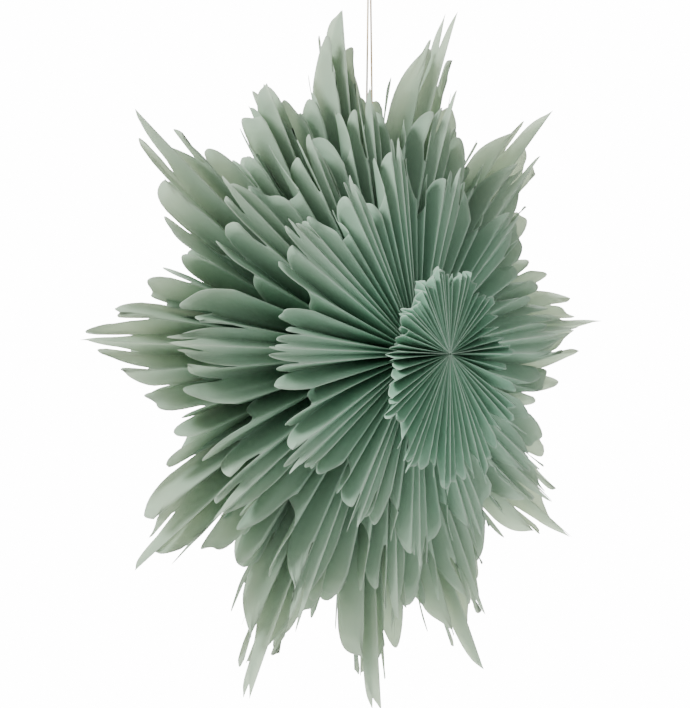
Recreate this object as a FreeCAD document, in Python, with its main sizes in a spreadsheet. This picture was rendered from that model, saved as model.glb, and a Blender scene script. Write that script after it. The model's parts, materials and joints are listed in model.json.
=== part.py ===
# Hanging paper snowflake star, 500 mm across, folded from 24 die-cut cells.
#
# The flat stack of cells opens like a fan into a full ring about a horizontal axis (Y).
# Every cell is one long core sheet (the two longest rows of points) with a pair of side
# sheets, front and back (the two shorter rows). Each cell is hinged to the next along the
# glue line of its inner edge, so the 24 inner edges make the little ring at the hub.
# Headings are angles in the XZ plane, from +X towards +Z. Lengths are in millimetres.
# The origin is the inside top of the hanging loop, where a hook carries the star.

import FreeCAD, Part
import math
import os
import Sketcher

doc = FreeCAD.newDocument("PaperSnowflakeStar")
Vector = FreeCAD.Vector

SIZES = {
    # core sheet: the longest row of points, then the second row
    "long_reach": 250.0,
    "long_shoulder": 205.0,
    "long_half": 9.0,
    "finger_gap": 1.0,
    "second_reach": 192.0,
    "second_shoulder": 160.0,
    "second_notch": 148.0,
    "core_half": 27.0,
    # side sheets: the third row, then the short row that makes the front rosette
    "third_reach": 137.0,
    "third_shoulder": 112.0,
    "third_depth": 51.0,
    "front_notch": 58.0,
    "front_reach": 67.0,
    "front_shoulder": 46.0,
    "front_depth": 81.0,
    "sheet_gap": 0.3,
    # the stack: how thick one flattened cell is, and the air between two of them
    "cell_thick": 0.5,
    "stack_gap": 0.3,
    # first and last sheet of the stack, which meet at the seam
    "panel_thick": 0.3,
    "panel_half": 46.0,
    "panel_shoulder": 70.0,
    "panel_tip_half": 12.0,
    "closing_panel_reach": 96.0,
    "tape_thick": 0.15,
    "tape_width": 12.0,
    "tape_length": 50.0,
    "tape_start": 12.0,
    "tape_offset": 38.0,
    # string: one length through the hole of the end panel, knotted under its loop
    "hang_drop": 290.0,
    "string_radius": 0.75,
    "hole_reach": 120.0,
    # paper left between the string's hole and the end panel's tip
    "hole_margin": 15.0,
    "hole_radius": 2.5,
    "bight_radius": 3.5,
    "knot_radius": 2.4,
    "knot_half_gap": 1.0,
    "loop_radius": 5.5,
}

# How the twelve rays stand when the star hangs: the seam is straight up, and the paper
# spreads wider at the sides than at the top and bottom.
SEAM = 90.0
RAYS = {
    "ray_first": 98.0,
    "ray_second": 119.0,
    "ray_third": 144.0,
    "ray_fourth": 178.0,
    "ray_fifth": 213.0,
    "ray_sixth": 243.0,
    "ray_seventh": 270.0,
    "ray_eighth": 296.0,
    "ray_ninth": 326.0,
    "ray_tenth": 366.0,
    "ray_eleventh": 404.0,
    "ray_twelfth": 433.0,
}

sheet = doc.addObject("Spreadsheet::Sheet", "Sizes")
for row, (name, value) in enumerate([*SIZES.items(), *RAYS.items()], start=1):
    sheet.set(f"A{row}", name)
    sheet.set(f"B{row}", str(value))
    sheet.setAlias(f"B{row}", name)
doc.recompute()


def size(name):
    """A driving size, read back from the spreadsheet."""
    return float(getattr(sheet, name))


def terms(text):
    """Split a sum of sizes, such as 'core_half + sheet_gap', into signed names and numbers."""
    for term in text.replace("-", "+ -").split("+"):
        term = term.strip()
        if term:
            yield (-1.0 if term[0] == "-" else 1.0), term.lstrip("- ")


def worth(text):
    """The length that a sum of sizes comes to."""
    return sum(sign * (size(term) if term in SIZES else float(term)) for sign, term in terms(text))


def bound(text):
    """The same sum as an expression on the spreadsheet's cells."""
    named = [(sign, f"Sizes.{term}" if term in SIZES else term) for sign, term in terms(text)]
    return "0 " + " ".join(f"{'-' if sign < 0 else '+'} {term}" for sign, term in named)


def outline(sketch, corners):
    """Add a closed outline to a sketch; a corner is (outwards, along the axis) as sums of sizes."""
    first = sketch.GeometryCount
    count = len(corners)
    spots = [Vector(worth(out), worth(along), 0) for out, along in corners]
    for i in range(count):
        sketch.addGeometry(Part.LineSegment(spots[i], spots[(i + 1) % count]), False)
    for i in range(count):
        after = first + (i + 1) % count
        sketch.addConstraint(Sketcher.Constraint("Coincident", first + i, 2, after, 1))
    for i, corner in enumerate(corners):
        for kind, text in zip(("DistanceX", "DistanceY"), corner):
            number = sketch.addConstraint(Sketcher.Constraint(kind, -1, 1, first + i, 1, worth(text)))
            sketch.setExpression(f"Constraints[{number}]", bound(text))


def flipped(corners):
    """The same outline on the other side of the middle plane."""
    return [
        (out, " ".join(f"{'+' if sign < 0 else '-'} {term}" for sign, term in terms(along)))
        for out, along in reversed(corners)
    ]


def sketch_of(name, *outlines):
    sketch = doc.addObject("Sketcher::SketchObject", name)
    for corners in outlines:
        outline(sketch, corners)
    return sketch


# Outlines of one flattened cell. The core sheet runs from front to back through the middle.
CORE_FRONT = [
    ("0", "core_half"),
    ("second_shoulder", "core_half"),
    ("second_reach", "core_half - long_half"),
    ("second_notch", "long_half + finger_gap"),
    ("long_shoulder", "long_half"),
]
core_sketch = sketch_of("CoreOutline", CORE_FRONT + [("long_reach", "0")] + flipped(CORE_FRONT))

SIDE_FRONT = [
    ("0", "core_half + sheet_gap"),
    ("third_shoulder", "core_half + sheet_gap"),
    ("third_reach", "third_depth - long_half"),
    ("third_shoulder", "third_depth"),
    ("front_notch", "third_depth"),
    ("front_reach", "front_depth - long_half"),
    ("front_shoulder", "front_depth"),
    ("0", "front_depth"),
]
side_sketch = sketch_of("SideOutlines", SIDE_FRONT, flipped(SIDE_FRONT))


def panel_outline(reach):
    """First or last sheet of the stack: a plain shield shape that stays inside the rays."""
    half = [("0", "panel_half"), ("panel_shoulder", "panel_half"), (reach, "panel_tip_half")]
    return half + flipped(half)


end_sketch = sketch_of("EndPanelOutline", panel_outline("hole_reach + hole_margin"))
closing_sketch = sketch_of("ClosingPanelOutline", panel_outline("closing_panel_reach"))

# The stack in order: end panel, 24 cells, closing panel. A cell lies midway between the two
# folds it spans: from the seam or a ray to the next ray, or to the valley between two rays.
rays = [size(name) for name in RAYS]
folds = [SEAM, rays[0]]
for near, far in zip(rays, rays[1:]):
    folds += [(near + far) / 2, far]
folds.append(SEAM + 360.0)
cells = [(near + far) / 2 for near, far in zip(folds, folds[1:])]
headings = [SEAM, *cells, SEAM + 360.0]

cell_pitch = size("cell_thick") + size("stack_gap")
panel_pitch = size("panel_thick") + size("stack_gap")
pitches = [panel_pitch, *[cell_pitch] * len(cells), panel_pitch]


def outwards(heading):
    angle = math.radians(heading)
    return Vector(math.cos(angle), 0, math.sin(angle))


# Hinge lines: the inner edges form a ring of short sides, one side for each piece of the stack.
hinges = [Vector(0, 0, 0)]
for heading, pitch in zip(headings, pitches):
    hinges.append(hinges[-1] + outwards(heading + 90.0) * pitch)
# The uneven spread leaves the ring slightly open, so each hinge line takes its share of the gap.
gap = hinges[-1] - hinges[0]
hinges = [hinge - gap * (place / len(headings)) for place, hinge in enumerate(hinges)]
end_x = (hinges[0].x + hinges[1].x) / 2
middle_z = sum(hinge.z for hinge in hinges) / len(hinges)
shift = Vector(-end_x, 0, -size("hang_drop") - middle_z)
hinges = [hinge + shift for hinge in hinges]
inner_edges = [(a + b) * 0.5 for a, b in zip(hinges, hinges[1:])]


def flat_piece(name, sketch, thickness, place):
    """A sheet or flattened cell, on its own side of the ring and pointing along its heading."""
    piece = doc.addObject("Part::Extrusion", name)
    piece.Base = sketch
    piece.DirMode = "Custom"
    piece.Dir = Vector(0, 0, 1)
    piece.Solid = True
    piece.Symmetric = True
    piece.setExpression("LengthFwd", f"Sizes.{thickness}")
    turn = FreeCAD.Rotation(Vector(0, -1, 0), headings[place])
    piece.Placement = FreeCAD.Placement(inner_edges[place], turn)
    return piece


nodes = []


def keep(obj, label):
    obj.Label = label
    nodes.append(obj)


for place in range(1, len(cells) + 1):
    core = flat_piece(f"CoreSheet{place:02d}", core_sketch, "cell_thick", place)
    keep(core, f"core_sheet_{place:02d}")
    sides = flat_piece(f"SideSheets{place:02d}", side_sketch, "cell_thick", place)
    keep(sides, f"side_sheets_{place:02d}")

last = len(headings) - 1
keep(flat_piece("ClosingPanel", closing_sketch, "panel_thick", last), "closing_panel")

# End panel, with the string's hole punched through it
end_blank = flat_piece("EndPanelBlank", end_sketch, "panel_thick", 0)
hole_z = inner_edges[0].z + size("hole_reach")
hole = doc.addObject("Part::Cylinder", "StringHole")
hole.setExpression("Radius", "Sizes.hole_radius")
hole.setExpression("Height", "20 * Sizes.panel_thick")
hole.Placement = FreeCAD.Placement(
    Vector(-10 * size("panel_thick"), 0, hole_z), FreeCAD.Rotation(Vector(0, 1, 0), 90)
)
end_panel = doc.addObject("Part::Cut", "EndPanel")
end_panel.Base = end_blank
end_panel.Tool = hole
keep(end_panel, "end_panel")

# Two strips of tape on the closing panel, which hold the ring shut against the end panel
strips = []
for side, name in ((1, "Front"), (-1, "Back")):
    strip = doc.addObject("Part::Box", f"{name}Tape")
    strip.setExpression("Length", "Sizes.tape_length")
    strip.setExpression("Width", "Sizes.tape_width")
    strip.setExpression("Height", "Sizes.tape_thick")
    turn = FreeCAD.Rotation(Vector(0, -1, 0), headings[last])
    across = side * size("tape_offset") - size("tape_width") / 2
    corner = Vector(size("tape_start"), across, size("panel_thick") / 2)
    strip.Placement = FreeCAD.Placement(inner_edges[last] + turn.multVec(corner), turn)
    strips.append(strip)
tape = doc.addObject("Part::Compound", "SeamTape")
tape.Links = strips
keep(tape, "seam_tape")

# String: from the knot down one face of the end panel, through its hole and up the other face
loop_z = size("string_radius") - size("loop_radius")
knot_z = loop_z - size("loop_radius") - size("knot_radius") / 2
bight_z = hole_z + size("bight_radius")
top_right = Vector(size("knot_half_gap"), 0, knot_z)
top_left = Vector(-size("knot_half_gap"), 0, knot_z)
rise = knot_z - bight_z
tangent = math.atan2(rise, top_right.x) - math.acos(size("bight_radius") / math.hypot(top_right.x, rise))
low_x = size("bight_radius") * math.cos(tangent)
low_z = bight_z + size("bight_radius") * math.sin(tangent)
low_right = Vector(low_x, 0, low_z)
low_left = Vector(-low_x, 0, low_z)
route = Part.Wire([
    Part.makeLine(top_right, low_right),
    Part.Arc(low_right, Vector(0, 0, hole_z), low_left).toShape(),
    Part.makeLine(low_left, top_left),
])
start = (low_right - top_right).normalize()
section = Part.Wire([Part.makeCircle(size("string_radius"), top_right, start)])
string = doc.addObject("Part::Feature", "HangingString")
string.Shape = route.makePipeShell([section], True, False, 2)
keep(string, "hanging_string")
plain_volume = math.pi * size("string_radius") ** 2 * route.Length
print("string length", round(route.Length, 1), "bight radius", size("bight_radius"))
print("string volume", round(string.Shape.Volume, 2), "section times length", round(plain_volume, 2))

knot = doc.addObject("Part::Sphere", "StringKnot")
knot.setExpression("Radius", "Sizes.knot_radius")
knot.Placement.Base = Vector(0, 0, knot_z)
keep(knot, "string_knot")

loop = doc.addObject("Part::Torus", "HangingLoop")
loop.setExpression("Radius1", "Sizes.loop_radius")
loop.setExpression("Radius2", "Sizes.string_radius")
loop.Placement = FreeCAD.Placement(Vector(0, 0, loop_z), FreeCAD.Rotation(Vector(1, 0, 0), 90))
keep(loop, "hanging_loop")

doc.recompute()
for obj in doc.Objects:
    if "Invalid" in obj.State or "Error" in obj.State:
        raise RuntimeError(f"{obj.Label} failed: {obj.State}")
for obj in nodes:
    if obj.Shape.isNull() or not obj.Shape.isValid():
        raise RuntimeError(f"{obj.Label} has no valid shape")

os.makedirs("parts", exist_ok=True)
for obj in nodes:
    obj.Shape.exportStep(f"parts/{obj.Label}.step")

print(len(nodes), "nodes")
print("ring: first hinge", hinges[0], "last hinge", hinges[-1])
for place, (heading, hinge) in enumerate(zip(headings, hinges)):
    print(place, "heading", round(heading, 4), "hinge x z", round(hinge.x, 5), round(hinge.z, 5))
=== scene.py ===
import json
import math
import random

import bpy
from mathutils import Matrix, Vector


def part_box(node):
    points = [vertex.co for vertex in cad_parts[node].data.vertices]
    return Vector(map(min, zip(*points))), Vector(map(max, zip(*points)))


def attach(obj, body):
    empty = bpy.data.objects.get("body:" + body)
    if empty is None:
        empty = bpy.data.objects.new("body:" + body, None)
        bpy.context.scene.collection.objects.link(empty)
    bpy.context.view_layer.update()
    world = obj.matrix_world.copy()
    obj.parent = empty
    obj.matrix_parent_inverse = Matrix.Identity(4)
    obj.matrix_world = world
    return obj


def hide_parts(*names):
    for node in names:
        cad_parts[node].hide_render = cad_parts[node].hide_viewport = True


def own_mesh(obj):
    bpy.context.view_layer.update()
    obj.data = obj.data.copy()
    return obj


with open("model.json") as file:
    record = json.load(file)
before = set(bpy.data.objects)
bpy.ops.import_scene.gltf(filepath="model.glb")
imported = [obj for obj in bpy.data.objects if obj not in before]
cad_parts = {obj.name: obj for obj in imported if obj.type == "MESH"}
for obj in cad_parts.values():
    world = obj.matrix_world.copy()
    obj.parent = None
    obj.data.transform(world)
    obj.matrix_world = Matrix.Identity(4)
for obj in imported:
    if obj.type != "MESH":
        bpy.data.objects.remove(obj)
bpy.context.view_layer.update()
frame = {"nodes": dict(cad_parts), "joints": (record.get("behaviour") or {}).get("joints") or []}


# Camera. It stands level with the middle of the star, turned so that the front rosette
# points to its right.
hinges = [Vector(joint["pos_m"]) for joint in frame["joints"]]
star_middle = sum(hinges, Vector()) / len(hinges)
YAW = math.radians(43.5)
CAMERA_AWAY = 1.54
AIM_LEFT = 0.0173
LENS, SENSOR = 111.6, 36
towards = Vector((-math.sin(YAW), -math.cos(YAW), 0))
rightwards = Vector((math.cos(YAW), -math.sin(YAW), 0))
aim = star_middle - rightwards * AIM_LEFT
camera = bpy.data.objects.new("camera", bpy.data.cameras.new("camera"))
bpy.context.scene.collection.objects.link(camera)
camera.data.sensor_fit = "HORIZONTAL"
camera.data.sensor_width = SENSOR
camera.data.lens = LENS
camera.location = aim + towards * CAMERA_AWAY
camera.rotation_mode = "QUATERNION"
camera.rotation_quaternion = (-towards).to_track_quat("-Z", "Y")
bpy.context.scene.camera = camera


# Hanging string. A doubled length of natural cotton string, 1.5 mm thick and twisted from
# three plies. It goes through the hole in the end panel and is knotted below its loop.
STRING_THICK = 0.0015
knot_low, knot_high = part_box("string_knot")
hole_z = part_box("hanging_string")[0][2] + STRING_THICK / 2
knot_z = (knot_low[2] + knot_high[2]) / 2
BEND_HEIGHT = 0.0125
STRAND = [(0.0010, 0, knot_z), (0.0034, 0, hole_z + BEND_HEIGHT), (0.0035, 0, hole_z)]


def there_and_back(half):
    """A route down one side and back up the other, turned half round the upright."""
    return half + [(-x, -y, z) for x, y, z in reversed(half)]


def socket(nodes, value, target):
    """Feed a node's input from another node, or set it to a plain value."""
    if isinstance(value, bpy.types.NodeSocket):
        nodes.links.new(value, target)
    else:
        target.default_value = value


def sums(nodes):
    """A short way to write sums as Math nodes in a tree."""
    def sum_of(operation, *values, clamp=False):
        node = nodes.nodes.new("ShaderNodeMath")
        node.operation = operation
        node.use_clamp = clamp
        for value, target in zip(values, node.inputs):
            socket(nodes, value, target)
        return node.outputs[0]
    return sum_of


def new_material(name, roughness):
    """An empty material with its Principled shader, and the sums for its tree."""
    material = bpy.data.materials.new(name)
    material.use_nodes = True
    shader = material.node_tree.nodes["Principled BSDF"]
    shader.inputs["Roughness"].default_value = roughness
    shader.inputs["Specular IOR Level"].default_value = 0.25
    return material, material.node_tree, shader, sums(material.node_tree)


def blended(nodes, share, first, second):
    """A colour between two others."""
    mix = nodes.nodes.new("ShaderNodeMix")
    mix.data_type = "RGBA"
    socket(nodes, share, mix.inputs["Factor"])
    socket(nodes, first, mix.inputs["A"])
    socket(nodes, second, mix.inputs["B"])
    return mix.outputs["Result"]


def noise(nodes, scale, detail):
    """A soft pattern fixed to the piece; a higher scale makes it finer."""
    texture = nodes.nodes.new("ShaderNodeTexNoise")
    socket(nodes, scale, texture.inputs["Scale"])
    socket(nodes, detail, texture.inputs["Detail"])
    nodes.links.new(object_place(nodes), texture.inputs["Vector"])
    return texture.outputs["Fac"]


def object_place(nodes):
    """Where a point lies on the piece, in metres."""
    return nodes.nodes.new("ShaderNodeTexCoord").outputs["Object"]


def bumped(nodes, shader, height, distance, strength):
    """Fine relief on a surface, from a pattern of heights."""
    bump = nodes.nodes.new("ShaderNodeBump")
    bump.inputs["Distance"].default_value = distance
    bump.inputs["Strength"].default_value = strength
    nodes.links.new(height, bump.inputs["Height"])
    nodes.links.new(bump.outputs["Normal"], shader.inputs["Normal"])


COTTON_SHADE = (0.66, 0.47, 0.27, 1)
COTTON_LIGHT = (0.90, 0.76, 0.54, 1)
PLIES, TWIST = 3.0, 2600.0
cotton, nodes, shader, sum_of = new_material("natural cotton string", 0.85)
on_string = nodes.nodes.new("ShaderNodeSeparateXYZ")
nodes.links.new(object_place(nodes), on_string.inputs[0])
turn = sum_of("ARCTAN2", on_string.outputs["Y"], on_string.outputs["X"])
wound = sum_of("ADD", sum_of("MULTIPLY", on_string.outputs["Z"], TWIST),
               sum_of("MULTIPLY", turn, PLIES))
plies = sum_of("MULTIPLY_ADD", sum_of("SINE", wound), 0.5, 0.5)
fuzz = noise(nodes, 900.0, 3.0)
tone = sum_of("MULTIPLY", sum_of("ADD", plies, fuzz), 0.5, clamp=True)
nodes.links.new(blended(nodes, tone, COTTON_SHADE, COTTON_LIGHT), shader.inputs["Base Color"])
bumped(nodes, shader, tone, 0.0003, 0.8)


def route_curve(name, points, closed=False):
    """A smooth curve through the neighbourhood of its points, as thick as the string."""
    curve = bpy.data.curves.new(name, "CURVE")
    curve.dimensions = "3D"
    spline = curve.splines.new("NURBS")
    spline.points.add(len(points) - 1)
    for point, spot in zip(spline.points, points):
        point.co = (*spot, 1)
    spline.order_u = 3
    spline.use_endpoint_u = not closed
    spline.use_cyclic_u = closed
    spline.resolution_u = 12
    curve.bevel_depth = STRING_THICK / 2
    curve.bevel_resolution = 3
    made = bpy.data.objects.new(name, curve)
    bpy.context.scene.collection.objects.link(made)
    curve.materials.append(cotton)
    return made


string = route_curve("doubled_string", there_and_back(STRAND))

# Loop and knot. The same string, tied off in an overhand knot under a loop that a hook
# goes through.
loop_low, loop_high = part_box("hanging_loop")
loop_middle = (loop_low[2] + loop_high[2]) / 2
loop_half = (loop_high[2] - loop_low[2]) / 2 - STRING_THICK / 2
loop_curve = route_curve("hook_loop", there_and_back([
    (0.0004, 0.0004, knot_z),
    (0.0044, 0.0003, loop_middle - loop_half * 0.35),
    (0.0056, 0, loop_middle + loop_half * 0.75),
    (0.0018, 0, loop_middle + loop_half * 1.12),
]))
KNOT_TURNS, KNOT_STEPS = 2, 24
KNOT_REACH, KNOT_SWAY, KNOT_RISE = 0.0013, 0.0009, 0.0017


def knot_spot(angle):
    """A point on the overhand knot, which sways three times in its two turns."""
    sway = 1.5 * angle
    reach = KNOT_REACH + KNOT_SWAY * math.cos(sway)
    return reach * math.cos(angle), reach * math.sin(angle), knot_z + KNOT_RISE * math.sin(sway)


knot_curve = route_curve("overhand_knot", [
    knot_spot(math.tau * KNOT_TURNS * step / KNOT_STEPS) for step in range(KNOT_STEPS)
], closed=True)


def to_mesh(made):
    """Turn a curve into a plain mesh object of the same name."""
    mesh = bpy.data.meshes.new_from_object(made)
    name = made.name
    curve = made.data
    bpy.data.objects.remove(made)
    bpy.data.curves.remove(curve)
    mesh.name = name
    mesh.shade_smooth()
    made = bpy.data.objects.new(name, mesh)
    bpy.context.scene.collection.objects.link(made)
    return made


loop = to_mesh(loop_curve)
knot = to_mesh(knot_curve)
for piece, node in ((string, "hanging_string"), (loop, "hanging_loop"), (knot, "string_knot")):
    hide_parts(node)
    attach(piece, "first_cell")


# Folded paper of the star. Each cell is die-cut paper, fan-folded between a ray and the
# valley beside it: one sheet through the middle plane, and three in front and behind, each
# set further out along the axis and cut shorter.
def input_socket(tree, name, value, kind="NodeSocketFloat"):
    """Add a named input to a tree, and give back the name a modifier sets it by."""
    made = tree.interface.new_socket(name, in_out="INPUT", socket_type=kind)
    if value is not None:
        made.default_value = value
    return made.identifier


def new_tree(name):
    """An empty node tree that gives out one mesh."""
    tree = bpy.data.node_groups.new(name, "GeometryNodeTree")
    tree.interface.new_socket("Geometry", in_out="OUTPUT", socket_type="NodeSocketGeometry")
    return tree


def drawn_curve(tree, value, points, rounded):
    """A drawn curve over the width of the cell, with round or straight corners."""
    node = tree.nodes.new("ShaderNodeFloatCurve")
    curve = node.mapping.curves[0]
    while len(curve.points) < len(points):
        curve.points.new(0.5, 0.5)
    for point, (x, y) in zip(curve.points, points):
        point.location = (x, y)
        point.handle_type = "AUTO" if rounded else "VECTOR"
    node.mapping.update()
    socket(tree, value, node.inputs["Value"])
    return node.outputs["Value"]


def across_cell(tree):
    """A point of the flat grid, and how far across the cell it lies: ray 0, valley 1."""
    spot = tree.nodes.new("ShaderNodeSeparateXYZ")
    tree.links.new(tree.nodes.new("GeometryNodeInputPosition").outputs[0], spot.inputs[0])
    sum_of = sums(tree)
    column = sum_of("ADD", spot.outputs["X"], 0.5)
    return spot, sum_of("MULTIPLY", column, sum_of("MULTIPLY_ADD", column, 0.5, 0.5))


def stored(tree, geometry, name, value):
    """Keep a value on the sheet's points, for its material or for a later step."""
    node = tree.nodes.new("GeometryNodeStoreNamedAttribute")
    node.inputs["Name"].default_value = name
    tree.links.new(geometry, node.inputs["Geometry"])
    tree.links.new(value, node.inputs["Value"])
    return node.outputs["Geometry"]


# One fan-folded sheet: five strips would be a ridge, a valley, a ridge, a wide valley and
# a ridge. A strip keeps its width, so its folds run deep at the hub and open out further off.
pleated = new_tree("Fan-folded sheet")
for label, value in (
        ("Outline", 1.0), ("Ray heading", 0.0), ("Spread", 0.2), ("Reach", 0.25),
        ("Stand-off", 0.0), ("Strip width", 0.012), ("Side", 1.0), ("Lean", 0.04),
        ("Curl", 0.0), ("Ray share", 1.0), ("Valley share", 1.0), ("Seed", 0.0),
        ("Ray fold", 0.8), ("Hook start", 0.6), ("Taper", 0.0)):
    input_socket(pleated, label, value)
given = pleated.nodes.new("NodeGroupInput").outputs
sum_of = sums(pleated)
COLUMNS, ROWS = 81, 16
grid = pleated.nodes.new("GeometryNodeMeshGrid")
grid.inputs["Size X"].default_value = 1.0
grid.inputs["Size Y"].default_value = 1.0
grid.inputs["Vertices X"].default_value = COLUMNS
grid.inputs["Vertices Y"].default_value = ROWS
spot, across = across_cell(pleated)
along = sum_of("ADD", spot.outputs["Y"], 0.5)

# each finger is cut a little unevenly, but not at the ray itself
CUT_UNEVEN, EVEN_AT_RAY = 0.14, 6.0
uneven = pleated.nodes.new("ShaderNodeTexNoise")
uneven.noise_dimensions = "1D"
uneven.inputs["Scale"].default_value = 5.0
uneven.inputs["Detail"].default_value = 0.0
pleated.links.new(sum_of("ADD", across, given["Seed"]), uneven.inputs["W"])
swing = sum_of("SUBTRACT", uneven.outputs["Fac"], 0.5)
past_tip = sum_of("MULTIPLY", across, EVEN_AT_RAY, clamp=True)
uneven_cut = sum_of("MULTIPLY_ADD", sum_of("MULTIPLY", swing, CUT_UNEVEN), past_tip, 1.0)

# from the hub to the cut edge; the length changes from the ray's share to the valley's
HUB = 0.0008
ray_weight = sum_of("POWER", sum_of("SUBTRACT", 1.0, across, clamp=True), 1.5)
ray_extra = sum_of("SUBTRACT", given["Ray share"], given["Valley share"])
ray_share = sum_of("MULTIPLY_ADD", ray_extra, ray_weight, given["Valley share"])
drawn_rim = sum_of("MULTIPLY", given["Outline"], given["Reach"])
rim = sum_of("MULTIPLY", drawn_rim, sum_of("MULTIPLY", ray_share, uneven_cut))
radius = sum_of("MULTIPLY_ADD", sum_of("SUBTRACT", rim, HUB), along, HUB)
reached = sum_of("DIVIDE", radius, given["Reach"])

# beyond the roots of the fingers the cut hooks towards its ray
HOOK_GROWS, HOOK_ROUND = 6.5, 1.6
past_root = sum_of("SUBTRACT", reached, given["Hook start"])
hooked = sum_of("POWER", sum_of("MULTIPLY", past_root, HOOK_GROWS, clamp=True), HOOK_ROUND)
belly = sum_of("MULTIPLY", sum_of("MULTIPLY", across, sum_of("SUBTRACT", 1.0, across)), 4.0)
bend = sum_of("MULTIPLY", sum_of("MULTIPLY", hooked, belly), given["Lean"])
leaned = sum_of("SUBTRACT", across, bend, clamp=True)

# the ray's own point is drawn together towards its tip
POINT_FROM, POINT_GROWS, POINT_EDGE, POINT_SOFT, PINCH = 0.7, 3.3, 0.17, 0.08, 0.4
beyond = sum_of("MULTIPLY", sum_of("SUBTRACT", reached, POINT_FROM), POINT_GROWS, clamp=True)
beside = sum_of("DIVIDE", sum_of("SUBTRACT", POINT_EDGE, leaned), POINT_SOFT, clamp=True)
closed = sum_of("SUBTRACT", 1.0, sum_of("MULTIPLY", sum_of("MULTIPLY", beyond, beside), PINCH))
heading = sum_of("MULTIPLY_ADD", given["Spread"], sum_of("MULTIPLY", leaned, closed),
                 given["Ray heading"])

# shape of the folds: sharp near the hub, softly hollow strips further out
FOLD_AT = [(0, 0), (0.13, 1), (0.29, 0), (0.48, 1), (0.82, 0), (1, 1)]
RAY_FOLD_ENDS, FOLD_STRAY, HOLLOW, OPENS = 0.29, 0.12, 1.7, 1.3
strayed = sum_of("MULTIPLY", sum_of("MULTIPLY", swing, belly), FOLD_STRAY)
folded_at = sum_of("ADD", leaned, strayed, clamp=True)
full_fold = drawn_curve(pleated, folded_at, FOLD_AT, False)
by_ray = sum_of("LESS_THAN", folded_at, RAY_FOLD_ENDS)
ray_fold = sum_of("MULTIPLY_ADD", sum_of("SUBTRACT", given["Ray fold"], 1.0), by_ray, 1.0)
sharp = sum_of("MULTIPLY", full_fold, ray_fold)
hollow = sum_of("SUBTRACT", 1.0, sum_of("POWER", sum_of("SUBTRACT", 1.0, sharp), HOLLOW))
open_share = sum_of("MULTIPLY", reached, OPENS, clamp=True)
fold_shape = sum_of("MULTIPLY_ADD", sum_of("SUBTRACT", hollow, sharp), open_share, sharp)

# depth of the folds: what the strip's width leaves once it spans its share of the cell
STRIP_SHARE = [(0, 0.11), (0.11, 0.12), (0.2, 0.175), (0.4, 0.22), (0.5, 0.27), (0.66, 0.3),
               (0.815, 0.23), (1, 0.185)]
NARROWEST = 0.3
LEAST_DEPTH_SQUARED = 0.000036
strip_share = drawn_curve(pleated, leaned, STRIP_SHARE, False)
narrowing = sum_of("MULTIPLY", reached, given["Taper"])
kept_width = sum_of("MAXIMUM", sum_of("SUBTRACT", 1.0, narrowing), NARROWEST)
strip_width = sum_of("MULTIPLY", given["Strip width"], kept_width)
strip_turn = sum_of("MULTIPLY", sum_of("ABSOLUTE", given["Spread"]), strip_share)
chord = sum_of("MULTIPLY", strip_turn, radius)
square = sum_of("SUBTRACT", sum_of("MULTIPLY", strip_width, strip_width),
                sum_of("MULTIPLY", chord, chord))
deep = sum_of("SQRT", sum_of("MAXIMUM", square, LEAST_DEPTH_SQUARED))
depth = sum_of("MULTIPLY", deep, fold_shape)
curl = sum_of("MULTIPLY", given["Curl"], sum_of("POWER", reached, 3.0))
stood_off = sum_of("ADD", sum_of("SUBTRACT", given["Stand-off"], depth), curl)
along_axis = sum_of("MULTIPLY", sum_of("MULTIPLY", stood_off, given["Side"]), -1.0)

sheet_point = pleated.nodes.new("ShaderNodeCombineXYZ")
pleated.links.new(sum_of("MULTIPLY", radius, sum_of("COSINE", heading)), sheet_point.inputs[0])
pleated.links.new(along_axis, sheet_point.inputs[1])
pleated.links.new(sum_of("MULTIPLY", radius, sum_of("SINE", heading)), sheet_point.inputs[2])

# the folds' depth, kept on the points for the painted shade that darkens deep folds
FOLD_SHADE_SCALE = 40.0
geometry = grid.outputs["Mesh"]
geometry = stored(pleated, geometry, "crease", sum_of("MULTIPLY", sharp, strip_width))
geometry = stored(pleated, geometry, "along", along)
geometry = stored(pleated, geometry, "out", radius)
geometry = stored(pleated, geometry, "deepness", sum_of("MULTIPLY", depth, FOLD_SHADE_SCALE))
setter = pleated.nodes.new("GeometryNodeSetPosition")
pleated.links.new(geometry, setter.inputs["Geometry"])
pleated.links.new(sheet_point.outputs[0], setter.inputs["Position"])

# distance to the cut edge, measured to the outermost row of points
LAST_ROW = 0.999
edge_only = pleated.nodes.new("GeometryNodeSeparateGeometry")
edge_only.domain = "POINT"
at_rim = pleated.nodes.new("GeometryNodeInputNamedAttribute")
at_rim.data_type = "FLOAT"
at_rim.inputs["Name"].default_value = "along"
on_last_row = sum_of("GREATER_THAN", at_rim.outputs["Attribute"], LAST_ROW)
pleated.links.new(setter.outputs[0], edge_only.inputs["Geometry"])
pleated.links.new(on_last_row, edge_only.inputs["Selection"])
near = pleated.nodes.new("GeometryNodeProximity")
near.target_element = "EDGES"
pleated.links.new(edge_only.outputs["Selection"], near.inputs[0])
geometry = stored(pleated, setter.outputs[0], "edge", near.outputs["Distance"])

# a mirrored sheet has its faces turned round
flip = pleated.nodes.new("GeometryNodeFlipFaces")
turned = sum_of("GREATER_THAN", sum_of("MULTIPLY", given["Spread"], given["Side"]), 0.0)
pleated.links.new(geometry, flip.inputs["Mesh"])
pleated.links.new(turned, flip.inputs["Selection"])
smooth = pleated.nodes.new("GeometryNodeSetShadeSmooth")
pleated.links.new(flip.outputs[0], smooth.inputs["Geometry"])
out = pleated.nodes.new("NodeGroupOutput")
pleated.links.new(smooth.outputs[0], out.inputs[0])

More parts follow.
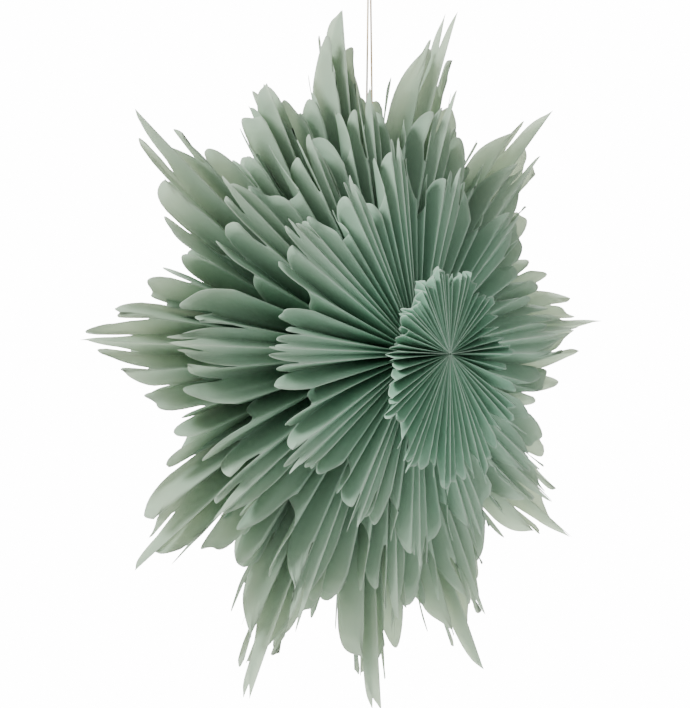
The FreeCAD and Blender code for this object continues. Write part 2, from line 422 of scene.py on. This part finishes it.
# The die's outlines, ray at 0 and valley at 1, as shares of the longest point.
LONG_CUT = [(0, 1.0), (0.02, 0.985), (0.05, 0.962), (0.08, 0.92), (0.1, 0.86), (0.115, 0.79),
            (0.125, 0.88), (0.14, 0.925), (0.165, 0.918), (0.2, 0.9), (0.24, 0.868), (0.27, 0.82),
            (0.288, 0.775), (0.3, 0.84), (0.325, 0.875), (0.36, 0.872), (0.41, 0.85),
            (0.455, 0.805), (0.488, 0.74), (0.51, 0.66), (0.53, 0.735), (0.565, 0.787),
            (0.61, 0.8), (0.67, 0.795), (0.73, 0.77), (0.78, 0.725), (0.815, 0.65),
            (0.835, 0.705), (0.87, 0.735), (0.91, 0.73), (0.955, 0.69), (1, 0.6)]
SECOND_CUT = [(0, 0.775), (0.03, 0.765), (0.06, 0.74), (0.08, 0.705), (0.10, 0.65),
              (0.125, 0.715), (0.155, 0.745), (0.19, 0.74), (0.235, 0.712), (0.272, 0.65),
              (0.295, 0.56), (0.32, 0.64), (0.345, 0.69), (0.385, 0.688), (0.425, 0.65),
              (0.455, 0.58), (0.49, 0.555), (0.53, 0.645), (0.59, 0.69), (0.65, 0.696),
              (0.71, 0.685), (0.77, 0.65), (0.82, 0.59), (0.86, 0.56), (0.91, 0.54), (1, 0.47)]
THIRD_CUT = [(0, 0.565), (0.03, 0.56), (0.06, 0.54), (0.09, 0.505), (0.11, 0.535),
             (0.14, 0.552), (0.19, 0.55), (0.24, 0.525), (0.285, 0.465), (0.305, 0.505),
             (0.34, 0.532), (0.39, 0.522), (0.43, 0.485), (0.47, 0.43), (0.52, 0.465),
             (0.58, 0.50), (0.65, 0.51), (0.71, 0.505), (0.77, 0.48), (0.83, 0.435),
             (0.88, 0.41), (0.93, 0.385), (1, 0.34)]
FRONT_CUT = [(0, 0.245), (0.1, 0.26), (0.25, 0.262), (0.38, 0.245), (0.47, 0.205),
             (0.52, 0.195), (0.6, 0.225), (0.75, 0.245), (0.88, 0.225), (1, 0.17)]
SEED_STEP = 7.3


def add_sheet(tree, given, across, shift, cut, side, layer, hook_start, hook_size, taper):
    """Put one fan-folded sheet into a cell's tree."""
    sheet = tree.nodes.new("GeometryNodeGroup")
    sheet.node_tree = pleated
    outline = sums(tree)("MULTIPLY", drawn_curve(tree, across, cut, True), given[f"{layer} share"])
    tree.links.new(outline, sheet.inputs["Outline"])
    for label in ("Ray heading", "Spread", "Reach", "Curl", "Ray share", "Valley share"):
        tree.links.new(given[label], sheet.inputs[label])
    tree.links.new(given[f"{layer} stand-off"], sheet.inputs["Stand-off"])
    tree.links.new(given[f"{layer} strip"], sheet.inputs["Strip width"])
    tree.links.new(given[f"{layer} ray fold"], sheet.inputs["Ray fold"])
    tree.links.new(sums(tree)("ADD", given["Seed"], shift), sheet.inputs["Seed"])
    sheet.inputs["Side"].default_value = side
    sheet.inputs["Hook start"].default_value = hook_start
    sheet.inputs["Taper"].default_value = taper
    tree.links.new(sums(tree)("MULTIPLY", given["Lean"], hook_size), sheet.inputs["Lean"])
    return sheet.outputs[0]


def cell_tree(name, sheets):
    """A tree that makes the sheets of one cell, and the names its inputs are set by."""
    tree = new_tree(name)
    sockets = {label: input_socket(tree, label, value) for label, value in (
        ("Ray heading", 0.0), ("Spread", 0.2), ("Reach", 0.25), ("Lean", 0.05), ("Curl", 0.0),
        ("Ray share", 1.0), ("Valley share", 1.0), ("Seed", 0.0),
        ("Inner stand-off", 0.0), ("Outer stand-off", 0.0), ("Inner strip", 0.02),
        ("Outer strip", 0.02), ("Inner ray fold", 0.8), ("Outer ray fold", 0.8),
        ("Inner share", 1.0), ("Outer share", 1.0))}
    sockets["Paper"] = input_socket(tree, "Paper", None, "NodeSocketMaterial")
    given = tree.nodes.new("NodeGroupInput").outputs
    across = across_cell(tree)[1]
    join = tree.nodes.new("GeometryNodeJoinGeometry")
    for number, sheet in enumerate(sheets):
        made = add_sheet(tree, given, across, number * SEED_STEP, *sheet)
        tree.links.new(made, join.inputs[0])
    realize = tree.nodes.new("GeometryNodeRealizeInstances")
    tree.links.new(join.outputs[0], realize.inputs[0])
    paint = tree.nodes.new("GeometryNodeSetMaterial")
    tree.links.new(realize.outputs[0], paint.inputs["Geometry"])
    tree.links.new(given["Paper"], paint.inputs["Material"])
    out = tree.nodes.new("NodeGroupOutput")
    tree.links.new(paint.outputs[0], out.inputs[0])
    return tree, sockets


# cut, side of the middle plane, layer, where the hooks start and how strong they are, taper
core_tree, core_sockets = cell_tree("Middle and second sheets", [
    (LONG_CUT, 1.0, "Inner", 0.74, 0.3, 0.0),
    (SECOND_CUT, 1.0, "Outer", 0.6, 0.5, 0.15),
    (SECOND_CUT, -1.0, "Outer", 0.6, 0.5, 0.15),
])
side_tree, side_sockets = cell_tree("Third and front sheets", [
    (THIRD_CUT, 1.0, "Inner", 0.44, 0.5, 0.45),
    (THIRD_CUT, -1.0, "Inner", 0.44, 0.5, 0.45),
    (FRONT_CUT, 1.0, "Outer", 0.18, 0.4, 2.6),
    (FRONT_CUT, -1.0, "Outer", 0.18, 0.4, 2.6),
])

# Dyed, uncoated paper, light enough that some light comes through. Folds and cut edges carry a
# painted highlight, a paler line along them; the base colour also has painted light, paler towards
# the tips, and painted shade, darker where the folds run deep.
DARK_DYE_AND_FOLD_SHADE = (0.085, 0.205, 0.13, 1)
PAPER_MAIN = (0.195, 0.385, 0.265, 1)
PALE_DYE_AND_TIP_LIGHT = (0.62, 0.74, 0.59, 1)
PAINTED_EDGE_HIGHLIGHT = (0.56, 0.64, 0.56, 1)
LIGHT_THROUGH = (0.86, 0.84, 0.72, 1)
HIGHLIGHT_WIDTH = 0.0009
FIBRE_ROUGH = 0.16

# the grain that both papers share: fine fibre and soft clouds in the dye
paper_grain = bpy.data.node_groups.new("Paper grain", "ShaderNodeTree")
for label in ("Cloud scale", "Cloud detail", "Roughness"):
    paper_grain.interface.new_socket(label, in_out="INPUT", socket_type="NodeSocketFloat")
for label in ("Cloud", "Fibre", "Roughness"):
    paper_grain.interface.new_socket(label, in_out="OUTPUT", socket_type="NodeSocketFloat")
grain_in = paper_grain.nodes.new("NodeGroupInput").outputs
grain_out = paper_grain.nodes.new("NodeGroupOutput").inputs
fibre = noise(paper_grain, 900.0, 4.0)
cloud = noise(paper_grain, grain_in["Cloud scale"], grain_in["Cloud detail"])
rough = sums(paper_grain)("MULTIPLY_ADD", fibre, FIBRE_ROUGH, grain_in["Roughness"])
for label, value in (("Cloud", cloud), ("Fibre", fibre), ("Roughness", rough)):
    paper_grain.links.new(value, grain_out[label])


def grained(nodes, shader, cloud_scale, cloud_detail, roughness):
    """Give a paper its grain, and give back the clouds in its dye."""
    grain = nodes.nodes.new("ShaderNodeGroup")
    grain.node_tree = paper_grain
    grain.inputs["Cloud scale"].default_value = cloud_scale
    grain.inputs["Cloud detail"].default_value = cloud_detail
    grain.inputs["Roughness"].default_value = roughness
    nodes.links.new(grain.outputs["Roughness"], shader.inputs["Roughness"])
    bumped(nodes, shader, grain.outputs["Fibre"], 0.0002, 0.25)
    return grain.outputs["Cloud"]


def attribute(nodes, name):
    """A value that the sheet's tree has kept on its points."""
    node = nodes.nodes.new("ShaderNodeAttribute")
    node.attribute_name = name
    return node.outputs["Fac"]


paper, nodes, shader, sum_of = new_material("sage paper", 0.78)
cloudy = grained(nodes, shader, 18.0, 3.0, 0.68)
# painted light and shade: the base colour turns paler towards the tips, standing in for light
# coming through the thin paper, and stays darker near the hub, standing in for shade there; the
# clouds on top are the dye's own
outer = sum_of("MULTIPLY", sum_of("SUBTRACT", attribute(nodes, "out"), 0.05), 6.0, clamp=True)
clouds = sum_of("MULTIPLY", sum_of("SUBTRACT", cloudy, 0.5), 0.5)
tone = sum_of("ADD", sum_of("MULTIPLY", outer, 0.68), clouds, clamp=True)
colour = blended(nodes, tone, PAPER_MAIN, PALE_DYE_AND_TIP_LIGHT)
# painted shade: the base colour darkens where the folds run deep, near the hub, where the cell's
# own walls shade them
painted_fold_shade = sum_of("MULTIPLY", attribute(nodes, "deepness"), 0.46, clamp=True)
colour = blended(nodes, painted_fold_shade, colour, DARK_DYE_AND_FOLD_SHADE)
# painted highlight: a paler line along the folds and the cut edges
crease_line, edge_line = (
    sum_of("SUBTRACT", 1.0, sum_of("DIVIDE", attribute(nodes, name), HIGHLIGHT_WIDTH), clamp=True)
    for name in ("crease", "edge"))
painted_highlight = sum_of("MAXIMUM", crease_line, edge_line)
colour = blended(nodes, sum_of("MULTIPLY", painted_highlight, 0.45), colour, PAINTED_EDGE_HIGHLIGHT)
nodes.links.new(colour, shader.inputs["Base Color"])
through = nodes.nodes.new("ShaderNodeBsdfTranslucent")
nodes.links.new(blended(nodes, 0.6, colour, LIGHT_THROUGH), through.inputs["Color"])
thin = nodes.nodes.new("ShaderNodeMixShader")
nodes.links.new(sum_of("MULTIPLY_ADD", outer, 0.42, 0.06), thin.inputs["Fac"])
nodes.links.new(shader.outputs[0], thin.inputs[1])
nodes.links.new(through.outputs[0], thin.inputs[2])
nodes.links.new(thin.outputs[0], nodes.nodes["Material Output"].inputs["Surface"])

PAPER_THICK = 0.00022
CELLS = 24
PLATE_END = 0.0008
# each ray's length, as a share of a plate's reach
RAY_REACH = [0.97, 0.84, 1.07, 1.03, 1.02, 1.04, 1.01, 1.05, 1.02, 1.01, 1.09, 1.05]


def plate_line(node):
    """Two points on a flat cell's middle plane, one at the hub and one at its tip."""
    spots = [v.co - star_middle for v in frame["nodes"][node].data.vertices]
    reaches = [math.hypot(spot.x, spot.z) for spot in spots]
    inner = [spot for spot, reach in zip(spots, reaches) if reach < min(reaches) + PLATE_END]
    outer = [spot for spot, reach in zip(spots, reaches) if reach > max(reaches) - PLATE_END]
    return sum(inner, Vector()) / len(inner), sum(outer, Vector()) / len(outer)


def run_tree(name, tree, sockets, values):
    """Evaluate a node tree on an empty mesh and keep the result as a plain mesh."""
    holder = bpy.data.objects.new(name, bpy.data.meshes.new("blank"))
    bpy.context.scene.collection.objects.link(holder)
    modifier = holder.modifiers.new("nodes", "NODES")
    modifier.node_group = tree
    for label, value in values.items():
        modifier[sockets[label]] = value
    graph = bpy.context.evaluated_depsgraph_get()
    mesh = bpy.data.meshes.new_from_object(holder.evaluated_get(graph))
    mesh.name = name
    blank = holder.data
    holder.modifiers.clear()
    holder.data = mesh
    bpy.data.meshes.remove(blank)
    return holder


chance = random.Random(12)
full_reach = plate_line("core_sheet_12")[1].length
cell_from = math.radians(90.0)
for number in range(1, CELLS + 1):
    label = f"{number:02d}"
    body = "first_cell" if number == 1 else f"cell_{label}"
    inner, outer = plate_line(f"core_sheet_{label}")
    middle = math.atan2(outer.z, outer.x)
    while middle < cell_from:
        middle += math.tau
    cell_to = 2 * middle - cell_from
    ray_first = number % 2 == 0
    if ray_first:
        ray_heading, spread = cell_from, cell_to - cell_from
    else:
        ray_heading, spread = cell_to, cell_from - cell_to
    ray_number = number // 2 - 1 if ray_first else (number - 1) // 2
    # 1 for a cell squeezed narrow, 0 for one that stands wide open
    shut = max(0.0, min(1.0, (0.30 - abs(spread)) / 0.11))
    common = {
        "Ray heading": ray_heading, "Spread": spread, "Reach": full_reach,
        "Ray share": RAY_REACH[ray_number % len(RAY_REACH)],
        "Valley share": 0.96 + 0.08 * chance.random(),
        "Lean": (0.14 + 0.06 * chance.random()) * (1.7 - 0.7 * shut),
        "Curl": 0.012 * (chance.random() - 0.35), "Paper": paper,
    }
    longer_below = (-0.25 * math.sin(middle) + 0.08 * math.cos(middle)
                    - 0.14 * math.cos(2 * middle))
    front_share = 1.02 + longer_below + 0.08 * (chance.random() - 0.5)
    core = run_tree(f"core_paper_{label}", core_tree, core_sockets, {
        **common, "Seed": number * 3.7, "Inner stand-off": 0.005, "Outer stand-off": 0.027,
        "Inner strip": 0.022, "Outer strip": 0.025 + 0.002 * chance.random(),
        "Outer share": 0.95 + 0.1 * chance.random(),
        "Inner ray fold": 0.55 + 0.4 * shut, "Outer ray fold": 0.25})
    side = run_tree(f"side_paper_{label}", side_tree, side_sockets, {
        **common, "Seed": number * 5.9, "Inner stand-off": 0.051, "Outer stand-off": 0.081,
        "Inner strip": 0.022 + 0.002 * chance.random(), "Outer strip": 0.030, "Ray share": 1.0,
        "Inner share": 0.9 + 0.18 * chance.random(),
        "Inner ray fold": 0.2, "Outer ray fold": 0.6, "Outer share": front_share})
    cell_from = cell_to
    for piece, node in ((core, f"core_sheet_{label}"), (side, f"side_sheets_{label}")):
        for vertex in piece.data.vertices:
            vertex.co += star_middle
        wall = piece.modifiers.new("paper thickness", "SOLIDIFY")
        wall.thickness = PAPER_THICK
        wall.offset = 0
        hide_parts(node)
        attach(piece, body)
        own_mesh(piece)


# End panel and closing panel. Plain sheets of the same paper at the two ends of the stack,
# which meet at the seam; the end panel has the punched hole for the string.
panel_paper, nodes, shader, sum_of = new_material("sage panel paper", 0.8)
cloudy = grained(nodes, shader, 25.0, 2.0, 0.7)
nodes.links.new(blended(nodes, cloudy, DARK_DYE_AND_FOLD_SHADE, PAPER_MAIN), shader.inputs["Base Color"])
for node in ("end_panel", "closing_panel"):
    frame["nodes"][node].data.materials.clear()
    frame["nodes"][node].data.materials.append(panel_paper)


# Seam tape. Two strips of matt white paper tape on the closing panel, pressed on by hand
# and a little wrinkled, which hold the ring shut.
TAPE_SHADE = (0.72, 0.73, 0.68, 1)
TAPE_WHITE = (0.86, 0.86, 0.82, 1)
tape, nodes, shader, sum_of = new_material("matt seam tape", 0.6)
wrinkle = noise(nodes, 140.0, 5.0)
nodes.links.new(blended(nodes, wrinkle, TAPE_SHADE, TAPE_WHITE), shader.inputs["Base Color"])
bumped(nodes, shader, wrinkle, 0.0004, 0.3)
frame["nodes"]["seam_tape"].data.materials.clear()
frame["nodes"]["seam_tape"].data.materials.append(tape)


# Floor, sky and lamps. A round pale floor below the star, with soft light all round and a
# large lamp above on the left.
FLOOR_RADIUS, FLOOR_DROP, FLOOR_SIDES = 0.9, 0.46, 96
PALE_FLOOR = (0.86, 0.86, 0.86, 1)
floor_mesh = bpy.data.meshes.new("floor")
turns = [math.tau * side / FLOOR_SIDES for side in range(FLOOR_SIDES)]
ring = [(FLOOR_RADIUS * math.cos(turn), FLOOR_RADIUS * math.sin(turn), star_middle.z - FLOOR_DROP)
        for turn in turns]
floor_mesh.from_pydata(ring, [], [list(range(FLOOR_SIDES))])
floor = bpy.data.objects.new("floor", floor_mesh)
bpy.context.scene.collection.objects.link(floor)
floor_paint, nodes, shader, sum_of = new_material("pale floor", 0.9)
shader.inputs["Base Color"].default_value = PALE_FLOOR
floor_mesh.materials.append(floor_paint)

# the sky lights the star softly, and is far brighter where the camera sees it
SKY_LIGHT, SKY_SEEN = 0.76, 14.5
sky = bpy.data.worlds.new("studio")
sky.use_nodes = True
nodes = sky.node_tree
background = nodes.nodes["Background"]
background.inputs["Color"].default_value = (1, 1, 1, 1)
seen = nodes.nodes.new("ShaderNodeLightPath").outputs["Is Camera Ray"]
strength = sums(nodes)("MULTIPLY_ADD", seen, SKY_SEEN, SKY_LIGHT)
nodes.links.new(strength, background.inputs["Strength"])
bpy.context.scene.world = sky


def lamp(name, place, size, power):
    """A round lamp that points at the star."""
    light = bpy.data.lights.new(name, "AREA")
    light.shape = "DISK"
    light.size = size
    light.energy = power
    made = bpy.data.objects.new(name, light)
    made.location = place
    made.rotation_mode = "QUATERNION"
    made.rotation_quaternion = (star_middle - Vector(place)).to_track_quat("-Z", "Y")
    bpy.context.scene.collection.objects.link(made)


key_place = star_middle + towards * 1.1 - rightwards * 1.25 + Vector((0, 0, 0.9))
back_place = star_middle - towards * 1.6 + Vector((0, 0, 0.5))
lamp("key lamp", key_place, 0.8, 62)
lamp("back lamp", back_place, 1.6, 110)
